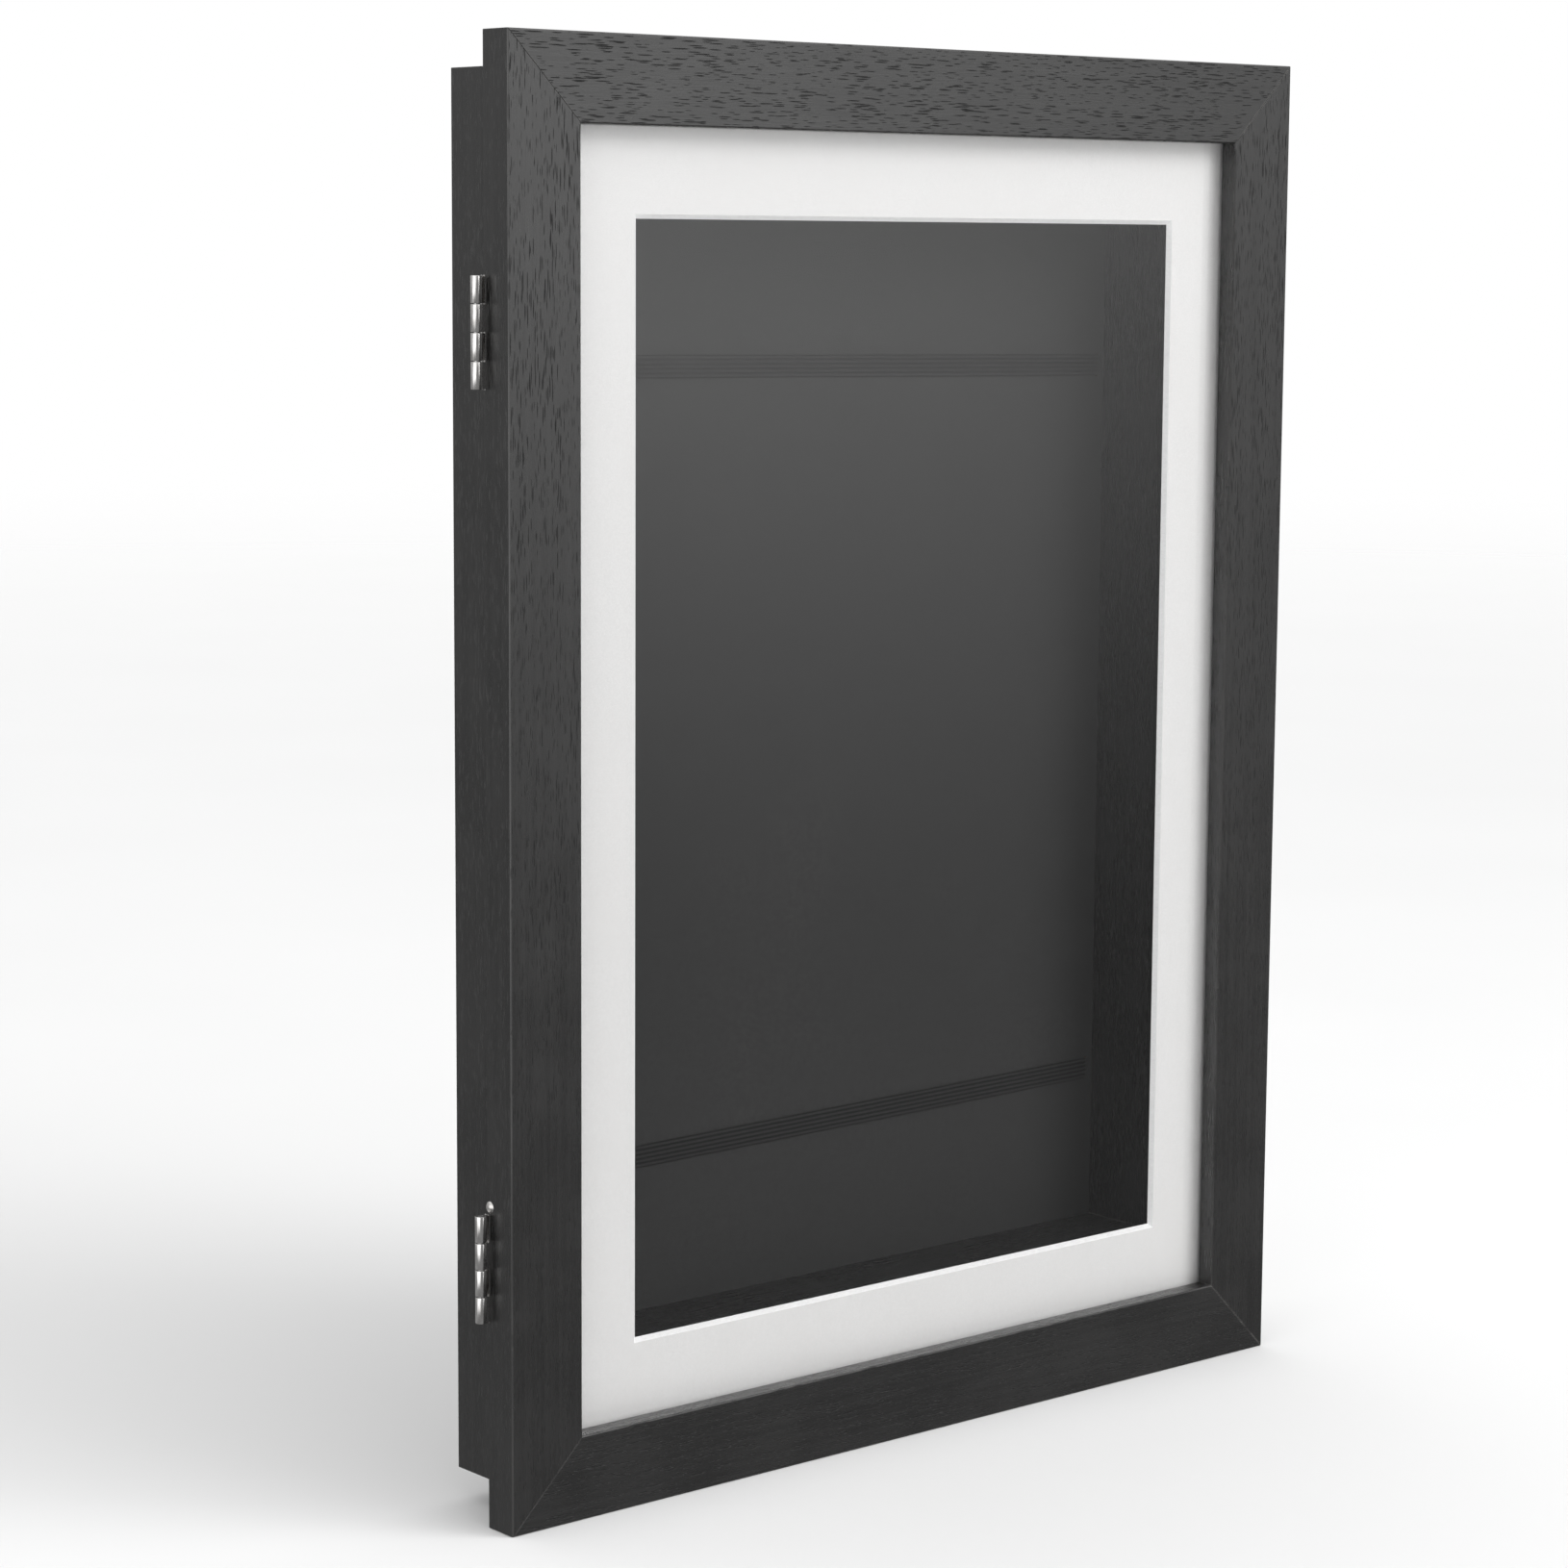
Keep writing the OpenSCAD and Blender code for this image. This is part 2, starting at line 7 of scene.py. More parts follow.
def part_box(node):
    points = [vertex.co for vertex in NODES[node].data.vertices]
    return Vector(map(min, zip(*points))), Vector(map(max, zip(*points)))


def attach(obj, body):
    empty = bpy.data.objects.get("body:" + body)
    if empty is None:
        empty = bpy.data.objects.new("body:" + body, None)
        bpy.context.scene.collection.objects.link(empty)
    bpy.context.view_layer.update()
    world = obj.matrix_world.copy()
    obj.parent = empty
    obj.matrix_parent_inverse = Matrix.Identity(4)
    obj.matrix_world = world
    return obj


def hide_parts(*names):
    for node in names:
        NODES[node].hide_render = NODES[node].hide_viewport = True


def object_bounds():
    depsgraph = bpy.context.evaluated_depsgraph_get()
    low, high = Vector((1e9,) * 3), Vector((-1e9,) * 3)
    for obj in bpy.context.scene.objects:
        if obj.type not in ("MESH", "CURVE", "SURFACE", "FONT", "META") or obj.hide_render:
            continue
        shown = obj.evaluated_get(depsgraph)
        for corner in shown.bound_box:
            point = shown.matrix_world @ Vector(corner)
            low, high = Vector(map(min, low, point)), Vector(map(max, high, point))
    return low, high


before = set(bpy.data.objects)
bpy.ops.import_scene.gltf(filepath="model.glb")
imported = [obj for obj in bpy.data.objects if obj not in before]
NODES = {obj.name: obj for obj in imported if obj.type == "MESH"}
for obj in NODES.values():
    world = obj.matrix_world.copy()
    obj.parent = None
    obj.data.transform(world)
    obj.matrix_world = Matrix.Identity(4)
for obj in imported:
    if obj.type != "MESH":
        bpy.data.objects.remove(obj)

CAD_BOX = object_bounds()

# Camera: azimuth 0 looks along +Y from the front. The lens axis meets the door's front face at the aim.
VIEW_AZIMUTH = math.radians(-40.37)
VIEW_ELEVATION = math.radians(7.85)
VIEW_ROLL = math.radians(0.35)
VIEW_DISTANCE = 1.6084
AIM_FROM_MIDDLE_X = -0.0786
AIM_FROM_MIDDLE_Z = -0.0045
LENS_MM = 89.8
SENSOR_MM = 36

# Studio: a pale floor that fades into a pale backdrop, dim surroundings that are lighter behind, and bright
# soft cards at the front right, above the front and at the left. Directions are unit vectors and heights are
# their Z. A pair of heights is where a change starts and ends.
FLOOR_GREY = 0.78
FLOOR_GREY_SPREAD = 0.01
FLOOR_DROP = 0.0001
FLOOR_SIDES = 96
FLOOR_RADIUS = 9.0
FLOOR_FADE_FROM = 1.6
FLOOR_FADE_TO = 7.0
FLOOR_CLOUD_TURNS = 3.0
BACKDROP_LEVEL = 1.0
SKY_LOW = 0.22
SKY_TOP = 1.1
SKY_BEHIND = 0.26
SKY_HEIGHTS = (0.25, 0.90)
BEHIND_FULL_DEPTH = 0.7
BEHIND_HEIGHTS = (-0.14, 0.07)
BEHIND_LOW_SHARE = 0.25
CARD_AZIMUTH = math.radians(28)
CARD_RIM = math.radians(27)
CARD_CORE = math.radians(5)
CARD_LEVEL = 2.4
CARD_FOOT = (-0.20, 0.20)
CARD_HEAD = (0.55, 0.80)
TOP_CARD_TOWARDS = Vector((0.15, -0.66, 0.74)).normalized()
TOP_CARD_LEVEL = 0.9
TOP_CARD_RIM = math.radians(34)
TOP_CARD_CORE = math.radians(18)
SIDE_CARD_AZIMUTH = math.radians(-80)
SIDE_CARD_RIM = math.radians(43)
SIDE_CARD_CORE = math.radians(14)
SIDE_CARD_LEVEL = 1.6
SIDE_CARD_FOOT = (-0.45, 0.0)
SIDE_CARD_HEAD = (0.30, 0.70)

# A large soft lamp above the front right, placed from the object's middle. Nothing mirrors it.
LAMP_PLACE = Vector((0.75, -1.05, 0.95))
LAMP_SIZE = 0.8
LAMP_WATTS = 7.0

# Pane: the share of light that one face mirrors head on, what it lets through, how high its waves are, how
# often waves and wiping marks change per metre, and how much rougher the marks are
PANE_MIRROR = 0.034
PANE_CLEARNESS = 0.985
PANE_WAVE = 0.00025
PANE_WAVE_TURNS = (7.0, 7.0, 5.0)
PANE_WIPE_TURNS = (60.0, 60.0, 14.0)
PANE_WIPE_ROUGHNESS = 0.06
SLANT_POWER = 5.0

# Black wood: pits in the grain, each kind as the width and length of its cell, its empty share and its size.
# Drift and wiggle bend the grain slowly and quickly, by that far across. Turns are a noise's changes per
# metre, across and along the grain where there are two. Step back is how far the grain moves across for
# each metre of depth. A colour is a grey level and its warmth.
WOOD_IOR = 1.7
PORES = [(0.0012, 0.020, 0.08, 0.19), (0.0009, 0.012, 0.25, 0.20), (0.0020, 0.038, 0.20, 0.12)]
PORE_FILLED_STEP = 0.4
PORE_WALL = 0.7
PORE_DEPTH = 0.00035
PORE_ROUGHNESS = 0.6
PORES_ON_SIDES = 0.2
FIBRE_DEPTH = 0.00002
GRAIN_DRIFT = 0.002
DRIFT_TURNS = (30.0, 11.0)
GRAIN_WIGGLE = 0.0001
WIGGLE_TURNS = (400.0, 170.0)
GRAIN_STEP_BACK = 0.9
BAND_TURNS = (120.0, 9.0)
FIBRE_TURNS = (2600.0, 70.0)
STREAK_TURNS = (420.0, 6.0)
WOOD_CLOUD_TURNS = 26.0
PEEL_TURNS = 900.0
PEEL_DEPTH = 0.6 * FIBRE_DEPTH
WOOD_DARK = (0.007, 0.02)
WOOD_LIGHT = (0.013, 0.02)
WOOD_PIT = (0.002, 0.0)
WOOD_RUBBED = (0.06, 0.05)
WOOD_SEAM = (0.12, 0.03)
SEAM_PATCH_TURNS = 90.0
SEAM_LEFT_EDGE_X = -0.22
SEAM_EDGE = 0.00012
SEAM_WIDTH = 0.0004
EDGE_SOFTNESS = 0.00015
HINGE_SOFTNESS = 0.00012
SOFT_ANGLE = math.radians(40)
SOFT_STEPS = 2
WELD_REACH = 0.000001

# How far the pane's corners are drawn in, so that its faces leave the planes of the mat and the lip
PANE_DRAWN_IN = 0.00015

# Mat: greys of the face's paper, of its faint stains and of the cut core, and the depth of the paper's tooth
MAT_FACE = ((0.66, 0.006), (0.71, 0.006))
MAT_STAIN = (0.67, 0.012)
MAT_CORE = ((0.84, 0.0), (0.92, 0.0))
MAT_TOOTH_TURNS = 1500.0
MAT_FIBRE_TURNS = (480.0, 480.0, 2600.0)
MAT_CLOUD_TURNS = 22.0
MAT_TOOTH_DEPTH = 0.00003

# The panel's paper is on its front. Behind this plane its fibreboard shows, after a short blend. The brown
# is its cut edge.
PANEL_REAR = -0.0022
PANEL_REAR_BLEND = 0.0004
PANEL_PAPER = ((0.020, 0.0), (0.030, 0.0))
PANEL_FLECK = (0.055, 0.0)
PANEL_SCUFF = (0.05, 0.05)
PANEL_BACK = ((0.014, 0.04), (0.034, 0.06))
PANEL_BACK_SCUFF = (0.07, 0.10)
PANEL_BROWN = ((0.10, 0.06, 0.035, 1.0), (0.17, 0.11, 0.065, 1.0))
PANEL_TOOTH_TURNS = (520.0, 520.0, 620.0)
PANEL_FLECK_TURNS = 2400.0
PANEL_CLOUD_TURNS = 13.0
PANEL_TOOTH_DEPTH = 0.00002
PANEL_FLECK_DEPTH = 0.00001

# Metal: tarnished and clean grey, lowest and highest roughness, and how often the drawn lines change per
# metre on each axis, then the tarnish, pits and lines that both kinds share
NICKEL_GREYS = ((0.42, 0.04), (0.78, 0.015))
NICKEL_ROUGHNESS = (0.14, 0.24)
NICKEL_BRUSH = (5200.0, 5200.0, 260.0)
ZINC_GREYS = ((0.30, 0.02), (0.55, 0.0))
ZINC_ROUGHNESS = (0.30, 0.42)
ZINC_BRUSH = (900.0, 900.0, 900.0)
TARNISH_TURNS = (240.0, 240.0, 170.0)
TARNISH_ROUGHNESS = 0.12
METAL_PIT_TURNS = 1900.0
METAL_PIT_DEPTH = 0.00001
DRAWN_LINE_DEPTH = 0.000008

# Elastic straps. The thickness is the band's, the groove is the share of it that a groove takes away, and
# the edge is how many thicknesses its rounded rims reach in. The stitch highlight and the groove shade are
# how much painted highlight on the raised stitches and painted shade in the grooves count in the band's
# tone.
STRAP_TILT = math.radians(0.7)
STRAP_THICKNESS = 0.0009
STRAP_TAIL = 0.024
STRAP_TAIL_MIDDLE_Y = -0.00105
STRAP_BEND = 0.0006
STRAP_RIBS = 5
STRAP_GROOVE = 0.34
STRAP_EDGE = 0.6
STRAP_EDGE_LEAST = 0.25
STEPS_ALONG_HALF_RUN = 40
STEPS_ALONG_TAIL = 6
STEPS_ROUND_BEND = 5
STEPS_ACROSS_RIB = 10
STITCH_PITCH = 0.0008
STITCH_SLANT = 1.6
STITCH_DEPTH = 0.00006
STITCH_PAINTED_HIGHLIGHT = 0.25
GROOVE_PAINTED_SHADE = 0.75
FUZZ_TURNS = 3800.0
FUZZ_DEPTH = 0.00005
ELASTIC_GREYS = ((0.001, 0.0), (0.022, 0.0))


# ---------- Node trees ----------

class Graph:
    """A material's or world's node tree, with short calls that add nodes and join them."""

    def __init__(self, owner):
        owner.use_nodes = True
        self.owner = owner
        self.tree = owner.node_tree
        self.tree.nodes.clear()

    def add(self, kind, inputs=None, **settings):
        node = self.tree.nodes.new("ShaderNode" + kind)
        for name, value in settings.items():
            setattr(node, name, value)
        for name, value in (inputs or {}).items():
            self.feed(node.inputs[name], value)
        return node

    def feed(self, socket, value):
        if isinstance(value, bpy.types.NodeSocket):
            self.tree.links.new(value, socket)
        else:
            socket.default_value = value

    def math(self, operation, *values):
        return self.add("Math", dict(enumerate(values)), operation=operation).outputs[0]

    def vector(self, operation, *values):
        node = self.add("VectorMath", dict(enumerate(values)), operation=operation)
        return node.outputs["Value" if operation == "DOT_PRODUCT" else "Vector"]

    def combine(self, x, y, z):
        return self.add("CombineXYZ", {"X": x, "Y": y, "Z": z}).outputs[0]

    def ramp(self, value, low, high, to_low=0.0, to_high=1.0):
        """value eased from to_low at low to to_high at high."""
        inputs = {
            "Value": value,
            "From Min": low,
            "From Max": high,
            "To Min": to_low,
            "To Max": to_high,
        }
        return self.add("MapRange", inputs, interpolation_type="SMOOTHSTEP").outputs[0]

    def scaled(self, where, x, y, z):
        """where with each axis stretched, so that a noise turns that often per metre along it."""
        return self.vector("MULTIPLY", where, (x, y, z))

    def even(self, where, turns):
        """where stretched by the same number on every axis."""
        return self.scaled(where, turns, turns, turns)

    def noise(self, where, detail=2.0, roughness=0.5):
        inputs = {"Vector": where, "Scale": 1.0, "Detail": detail, "Roughness": roughness}
        return self.add("TexNoise", inputs).outputs["Fac"]

    def blend(self, factor, low, high):
        """A colour between low and high."""
        node = self.add("Mix", data_type="RGBA")
        self.feed(node.inputs[0], factor)
        self.feed(node.inputs[6], low)
        self.feed(node.inputs[7], high)
        return node.outputs[2]

    def bump(self, height):
        """A normal from a height in metres."""
        return self.add("Bump", {"Height": height, "Strength": 1.0, "Distance": 1.0}).outputs[0]

    def surface(self, shader):
        self.add("OutputMaterial", {"Surface": shader})


def grey(level, warmth=0.0):
    """An RGBA grey, a little warmer where warmth is above 0."""
    return (level * (1 + warmth), level, level * (1 - warmth), 1.0)


def greys(pair):
    """Two greys, each from its level and warmth."""
    return [grey(*colour) for colour in pair]


def new_graph(name):
    """The node tree of a new material."""
    return Graph(bpy.data.materials.new(name))


def place(graph):
    """Object coordinates in metres, whole and as x, y and z."""
    position = graph.add("TexCoord").outputs["Object"]
    split = graph.add("SeparateXYZ", {0: position})
    return position, split.outputs[0], split.outputs[1], split.outputs[2]


def facing(graph):
    """The sizes of the surface normal's x, y and z in the object's frame."""
    split = graph.add("SeparateXYZ", {0: graph.add("TexCoord").outputs["Normal"]})
    return [graph.math("ABSOLUTE", out) for out in split.outputs]


# ---------- Materials ----------

def pores(graph, across, along, pitch, reach, emptiness, largest, density):
    """Long, thin pits along the grain, from 0 on the surface to 1 at the bottom of a pit. Each cell of pitch
    by reach holds one pit of its own size, and a share of the cells, emptiness, holds none."""
    where = graph.combine(graph.math("DIVIDE", across, pitch), graph.math("DIVIDE", along, reach), 0.0)
    inputs = {"Vector": where, "Scale": 1.0, "Randomness": 1.0}
    cells = graph.add("TexVoronoi", inputs, voronoi_dimensions="2D")
    chance = graph.add("SeparateColor", {0: cells.outputs["Color"]}).outputs[0]
    filled = graph.ramp(chance, emptiness, emptiness + PORE_FILLED_STEP, 0.0, largest)
    size = graph.math("MULTIPLY", filled, density)
    inside = graph.math("SUBTRACT", size, cells.outputs["Distance"])
    return graph.ramp(inside, 0.0, PORE_WALL * largest)


def black_wood(name, along_x):
    """Black-lacquered open-pored wood whose grain runs along X, or along Z."""
    g = new_graph(name)
    position, x, y, z = place(g)
    along, across = (x, z) if along_x else (z, x)
    side_step = g.math("MULTIPLY", y, GRAIN_STEP_BACK)

    def bent(turns, distance):
        """How far a noise pushes the grain across at each place."""
        turn_across, turn_along = turns
        where = g.combine(g.math("MULTIPLY", across, turn_across), y, g.math("MULTIPLY", along, turn_along))
        return g.math("MULTIPLY", g.math("SUBTRACT", g.noise(where), 0.5), distance)

    sway = g.math("ADD", bent(DRIFT_TURNS, GRAIN_DRIFT), bent(WIGGLE_TURNS, GRAIN_WIGGLE))
    across = g.math("ADD", g.math("ADD", across, side_step), sway)

    def stretched(fine, long):
        """A place in the bent grain, for a noise that is long along it."""
        return g.combine(g.math("MULTIPLY", across, fine), 0.0, g.math("MULTIPLY", along, long))

    bands = g.ramp(g.noise(stretched(*BAND_TURNS)), 0.34, 0.62, 0.6, 1.1)
    pits = 0.0
    for pitch, reach, emptiness, largest in PORES:
        pits = g.math("MAXIMUM", pits, pores(g, across, along, pitch, reach, emptiness, largest, bands))
    nx, ny, nz = facing(g)
    pits = g.math("MULTIPLY", pits, g.ramp(ny, 0.6, 0.95, PORES_ON_SIDES, 1.0))

    fibre = g.noise(stretched(*FIBRE_TURNS), detail=3.0)
    streaks = g.noise(stretched(*STREAK_TURNS), detail=3.0)
    cloud = g.noise(g.even(position, WOOD_CLOUD_TURNS), detail=3.0)
    peel = g.noise(g.even(position, PEEL_TURNS))

    tone = g.math("ADD", g.math("MULTIPLY", streaks, 0.6), g.math("MULTIPLY", cloud, 0.4))
    colour = g.blend(g.ramp(tone, 0.35, 0.65), grey(*WOOD_DARK), grey(*WOOD_LIGHT))
    colour = g.blend(g.math("MULTIPLY", pits, 0.9), colour, grey(*WOOD_PIT))
    # A lighter, warm line along the corner mitres, in patches and fainter towards the left
    seam = g.ramp(mitre_distance(g, x, z), SEAM_EDGE, SEAM_EDGE + SEAM_WIDTH, 1.0, 0.0)
    seam_patches = g.ramp(g.noise(g.even(position, SEAM_PATCH_TURNS)), 0.35, 0.6, 0.3, 1.0)
    clearer = g.ramp(x, SEAM_LEFT_EDGE_X, 0.0, 0.25, 1.0)
    seam = g.math("MULTIPLY", seam, g.math("MULTIPLY", seam_patches, clearer))
    arris = g.ramp(g.math("MAXIMUM", nx, g.math("MAXIMUM", ny, nz)), 0.80, 0.95, 1.0, 0.0)
    rubbed = g.math("MULTIPLY", arris, g.ramp(cloud, 0.42, 0.62, 0.1, 0.7))
    colour = g.blend(g.math("MULTIPLY", rubbed, 0.4), colour, grey(*WOOD_RUBBED))
    colour = g.blend(g.math("MULTIPLY", seam, 0.8), colour, grey(*WOOD_SEAM))

    roughness = g.math("ADD", g.ramp(fibre, 0.3, 0.7, 0.24, 0.31), g.ramp(cloud, 0.35, 0.65, -0.02, 0.03))
    roughness = g.math("ADD", roughness, g.math("MULTIPLY", pits, PORE_ROUGHNESS))
    height = g.math("MULTIPLY", pits, -PORE_DEPTH)
    height = g.math("ADD", height, g.math("MULTIPLY", fibre, FIBRE_DEPTH))
    height = g.math("ADD", height, g.math("MULTIPLY", peel, PEEL_DEPTH))
    shader = g.add("BsdfPrincipled", {
        "Base Color": colour,
        "Roughness": roughness,
        "IOR": WOOD_IOR,
        "Normal": g.bump(height),
    })
    g.surface(shader.outputs[0])
    return g.owner


def mitre_distance(graph, x, z):
    """Distance from the corner diagonals, which the door and the box share."""
    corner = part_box("door_rail_top")[1]
    offset = corner.z - corner.x
    across = graph.math("SUBTRACT", graph.math("ABSOLUTE", z), graph.math("ABSOLUTE", x))
    distance = graph.math("MULTIPLY", graph.math("SUBTRACT", across, offset), math.sqrt(0.5))
    return graph.math("ABSOLUTE", distance)


def clear_pane():
    """Clear acrylic: each face mirrors a little, more at a slant, and lets the rest through. It has very
    faint wiping marks and the slight waves of a thin sheet."""
    g = new_graph("pane_clear_acrylic")
    position = g.add("TexCoord").outputs["Object"]
    wipes = g.noise(g.scaled(position, *PANE_WIPE_TURNS), detail=4.0)
    waves = g.noise(g.scaled(position, *PANE_WAVE_TURNS), detail=1.0)
    slant = g.add("LayerWeight", {"Blend": 0.5}).outputs["Facing"]
    gain = g.math("MULTIPLY", g.math("POWER", slant, SLANT_POWER), 1.0 - PANE_MIRROR)
    mirror = g.add("BsdfGlossy", {
        "Color": grey(1.0),
        "Roughness": g.ramp(wipes, 0.45, 0.75, 0.0, PANE_WIPE_ROUGHNESS),
        "Normal": g.bump(g.math("MULTIPLY", waves, PANE_WAVE)),
    })
    through = g.add("BsdfTransparent", {"Color": grey(PANE_CLEARNESS)})
    share = g.math("ADD", gain, PANE_MIRROR)
    g.surface(g.add("MixShader", {0: share, 1: through.outputs[0], 2: mirror.outputs[0]}).outputs[0])
    return g.owner


def white_mat():
    """White mat board: soft paper tooth on the face, and a brighter, coarser core on the cut bevel."""
    g = new_graph("mat_white_board")
    position = place(g)[0]
    ny = facing(g)[1]
    tooth = g.noise(g.even(position, MAT_TOOTH_TURNS), detail=4.0, roughness=0.65)
    fibres = g.noise(g.scaled(position, *MAT_FIBRE_TURNS), detail=3.0)
    cloud = g.noise(g.even(position, MAT_CLOUD_TURNS), detail=3.0)
    face = g.blend(g.ramp(tooth, 0.3, 0.7), *greys(MAT_FACE))
    face = g.blend(g.math("MULTIPLY", g.ramp(cloud, 0.4, 0.7), 0.3), face, grey(*MAT_STAIN))
    core = g.blend(g.ramp(fibres, 0.3, 0.7), *greys(MAT_CORE))
    bevel = g.ramp(ny, 0.75, 0.95, 1.0, 0.0)
    height = g.math("MULTIPLY", g.math("ADD", tooth, fibres), MAT_TOOTH_DEPTH)
    shader = g.add("BsdfPrincipled", {
        "Base Color": g.blend(bevel, face, core),
        "Roughness": g.ramp(fibres, 0.3, 0.7, 0.78, 0.92),
        "Specular IOR Level": 0.3,
        "Normal": g.bump(height),
    })
    g.surface(shader.outputs[0])
    return g.owner


def black_board():
    """The back panel: fine-toothed black paper inside, and a rubbed fibreboard back with brown cut edges."""
    g = new_graph("panel_black_board")
    position, _, y, _ = place(g)
    ny = facing(g)[1]
    tooth = g.noise(g.scaled(position, *PANEL_TOOTH_TURNS), detail=4.0, roughness=0.6)
    fleck = g.noise(g.even(position, PANEL_FLECK_TURNS), detail=2.0)
    cloud = g.noise(g.even(position, PANEL_CLOUD_TURNS), detail=4.0)
    black = g.blend(g.ramp(tooth, 0.3, 0.7), *greys(PANEL_PAPER))
    black = g.blend(g.math("MULTIPLY", g.ramp(fleck, 0.66, 0.8), 0.4), black, grey(*PANEL_FLECK))
    scuff = g.math("MULTIPLY", g.ramp(cloud, 0.5, 0.8), g.ramp(tooth, 0.45, 0.65))
    black = g.blend(g.math("MULTIPLY", scuff, 0.3), black, grey(*PANEL_SCUFF))
    back = g.blend(g.ramp(tooth, 0.35, 0.65), *greys(PANEL_BACK))
    back = g.blend(g.math("MULTIPLY", scuff, 0.5), back, grey(*PANEL_BACK_SCUFF))
    brown = g.blend(g.ramp(fleck, 0.3, 0.7), *PANEL_BROWN)
    edge = g.ramp(ny, 0.3, 0.8, 1.0, 0.0)
    rear = g.ramp(y, PANEL_REAR, PANEL_REAR + PANEL_REAR_BLEND)
    tooth_height = g.math("MULTIPLY", tooth, PANEL_TOOTH_DEPTH)
    height = g.math("ADD", tooth_height, g.math("MULTIPLY", fleck, PANEL_FLECK_DEPTH))
    shader = g.add("BsdfPrincipled", {
        "Base Color": g.blend(edge, g.blend(rear, black, back), brown),
        "Roughness": g.ramp(tooth, 0.3, 0.7, 0.62, 0.8),
        "Specular IOR Level": 0.18,
        "Normal": g.bump(height),
    })
    g.surface(shader.outputs[0])
    return g.owner


def elastic():
    """Knitted elastic: small slanted stitches on each rib and grooves between the ribs. Its colour carries a
    painted highlight on the raised stitches and painted shade in the grooves.
    """
    g = new_graph("strap_knitted_elastic")
    position, x, _, z = place(g)
    rib = strap_width() / STRAP_RIBS
    phase = g.math("DIVIDE", z, rib)
    slant = g.math("PINGPONG", phase, 0.5)
    turns = g.math("ADD", g.math("DIVIDE", x, STITCH_PITCH), g.math("MULTIPLY", slant, STITCH_SLANT))
    stitch = g.math("SINE", g.math("MULTIPLY", turns, math.tau))
    groove = g.math("COSINE", g.math("MULTIPLY", phase, math.tau))
    fuzz = g.noise(g.even(position, FUZZ_TURNS), detail=3.0)
    # Painted highlight on the raised stitches and painted shade in the grooves between the ribs, plus random
    # fuzz
    lit = g.math("ADD", g.math("MULTIPLY", stitch, STITCH_PAINTED_HIGHLIGHT), g.math("MULTIPLY", groove, GROOVE_PAINTED_SHADE))
    lit = g.math("ADD", lit, g.math("SUBTRACT", fuzz, 0.5))
    height = g.math("ADD", g.math("MULTIPLY", stitch, STITCH_DEPTH), g.math("MULTIPLY", fuzz, FUZZ_DEPTH))
    shader = g.add("BsdfPrincipled", {
        "Base Color": g.blend(g.ramp(lit, -0.8, 0.9), *greys(ELASTIC_GREYS)),
        "Roughness": g.ramp(fuzz, 0.3, 0.7, 0.7, 0.9),
        "Specular IOR Level": 0.2,
        "Sheen Weight": 0.02,
        "Sheen Roughness": 0.4,
        "Normal": g.bump(height),
    })
    g.surface(shader.outputs[0])
    return g.owner


def plated_metal(name, low, high, smooth, rough, brush):
    """Plated metal with a fine drawn finish, small pits and soft tarnish. Low and high are the tarnished and
    the clean grey, and brush is how often the drawn lines change per metre on each axis."""
    g = new_graph(name)
    position = g.add("TexCoord").outputs["Object"]
    lines = g.noise(g.scaled(position, *brush), detail=3.0)
    cloud = g.noise(g.scaled(position, *TARNISH_TURNS), detail=4.0)
    pits = g.ramp(g.noise(g.even(position, METAL_PIT_TURNS)), 0.66, 0.78)
    tarnish = g.math("ADD", g.math("MULTIPLY", g.ramp(cloud, 0.38, 0.7), 0.6), g.math("MULTIPLY", pits, 0.4))
    line_height = g.math("MULTIPLY", lines, DRAWN_LINE_DEPTH)
    height = g.math("SUBTRACT", line_height, g.math("MULTIPLY", pits, METAL_PIT_DEPTH))
    dulled = g.math("MULTIPLY", tarnish, TARNISH_ROUGHNESS)
    roughness = g.math("ADD", g.ramp(lines, 0.3, 0.7, smooth, rough), dulled)
    shader = g.add("BsdfPrincipled", {
        "Base Color": g.blend(tarnish, grey(*high), grey(*low)),
        "Metallic": 1.0,
        "Roughness": roughness,
        "Normal": g.bump(height),
    })
    g.surface(shader.outputs[0])
    return g.owner


# ---------- Camera, floor and light ----------

def set_camera():
    """The photo's viewpoint."""
    door_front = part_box("door_rail_top")[0].y
    aim = Vector((AIM_FROM_MIDDLE_X, door_front, AIM_FROM_MIDDLE_Z))
    back = Vector((
        math.sin(VIEW_AZIMUTH) * math.cos(VIEW_ELEVATION),
        -math.cos(VIEW_AZIMUTH) * math.cos(VIEW_ELEVATION),
        math.sin(VIEW_ELEVATION),
    ))
    right = Vector((0, 0, 1)).cross(back).normalized()
    up = back.cross(right)
    turn = Matrix((right, up, back)).transposed().to_4x4()
    lens = bpy.data.cameras.new("camera")
    lens.lens = LENS_MM
    lens.sensor_width = SENSOR_MM
    lens.clip_end = 100
    camera = bpy.data.objects.new("camera", lens)
    stand = Matrix.Translation(aim + VIEW_DISTANCE * back)
    camera.matrix_world = stand @ turn @ Matrix.Rotation(VIEW_ROLL, 4, "Z")
    bpy.context.scene.collection.objects.link(camera)
    bpy.context.scene.camera = camera


